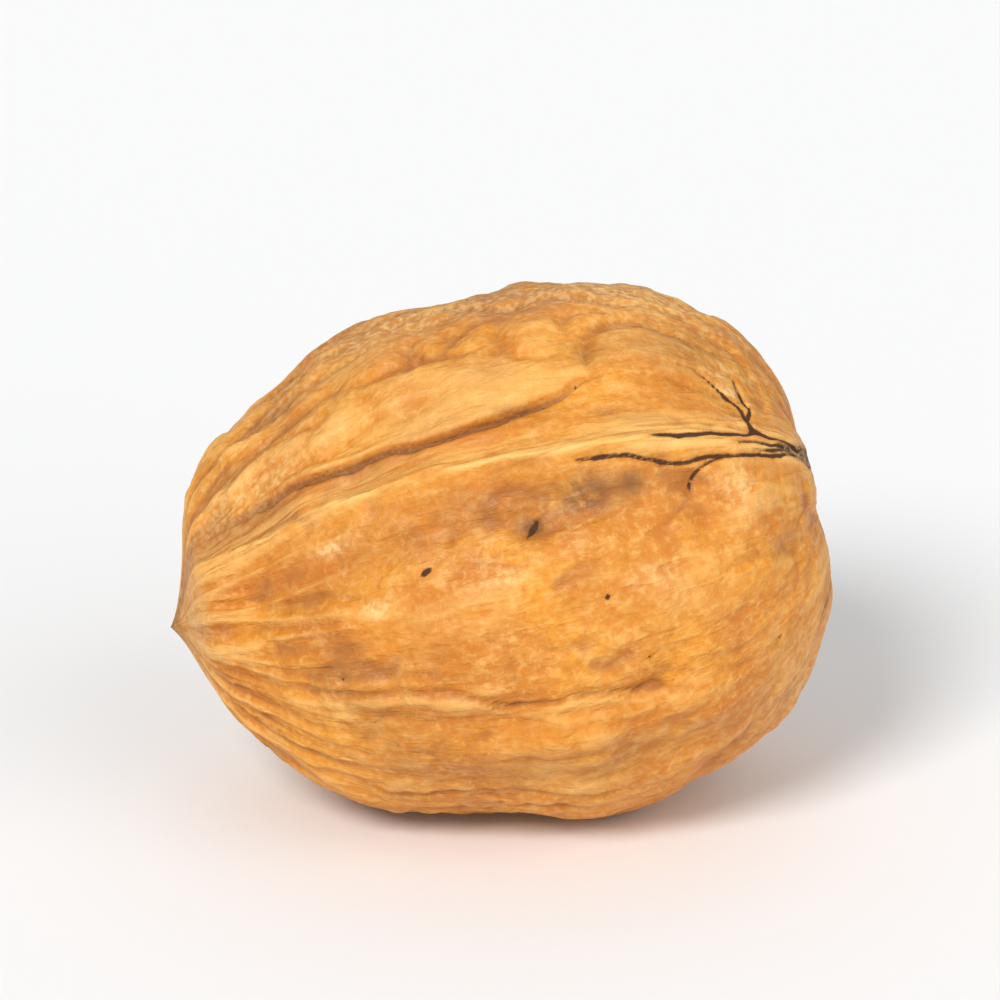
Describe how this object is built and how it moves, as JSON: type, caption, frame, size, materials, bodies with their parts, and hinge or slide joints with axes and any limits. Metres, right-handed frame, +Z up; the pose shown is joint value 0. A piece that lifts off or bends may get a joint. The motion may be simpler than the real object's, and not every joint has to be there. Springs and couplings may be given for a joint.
{
  "type": "whole walnut in its shell",
  "caption": "Whole dried walnut in its closed shell, ovoid with a pointed tip, blunt stem end and raised seam, lying on a small flat spot.",
  "frame": {"origin": "middle of the nut's footprint box, on the surface that it rests on", "axes": "+Z up; +X along the nut from the pointed tip to the blunt stem end; the near seam faces -Y and up"},
  "size_m": [0.0416, 0.0336, 0.0335],
  "materials": {
    "walnut_shell": "dry matt tan shell with paler ridges, browner furrows and a faint pale bloom"
  },
  "bodies": {
    "root": {"walnut": "walnut_shell"}
  },
  "joints": []
}
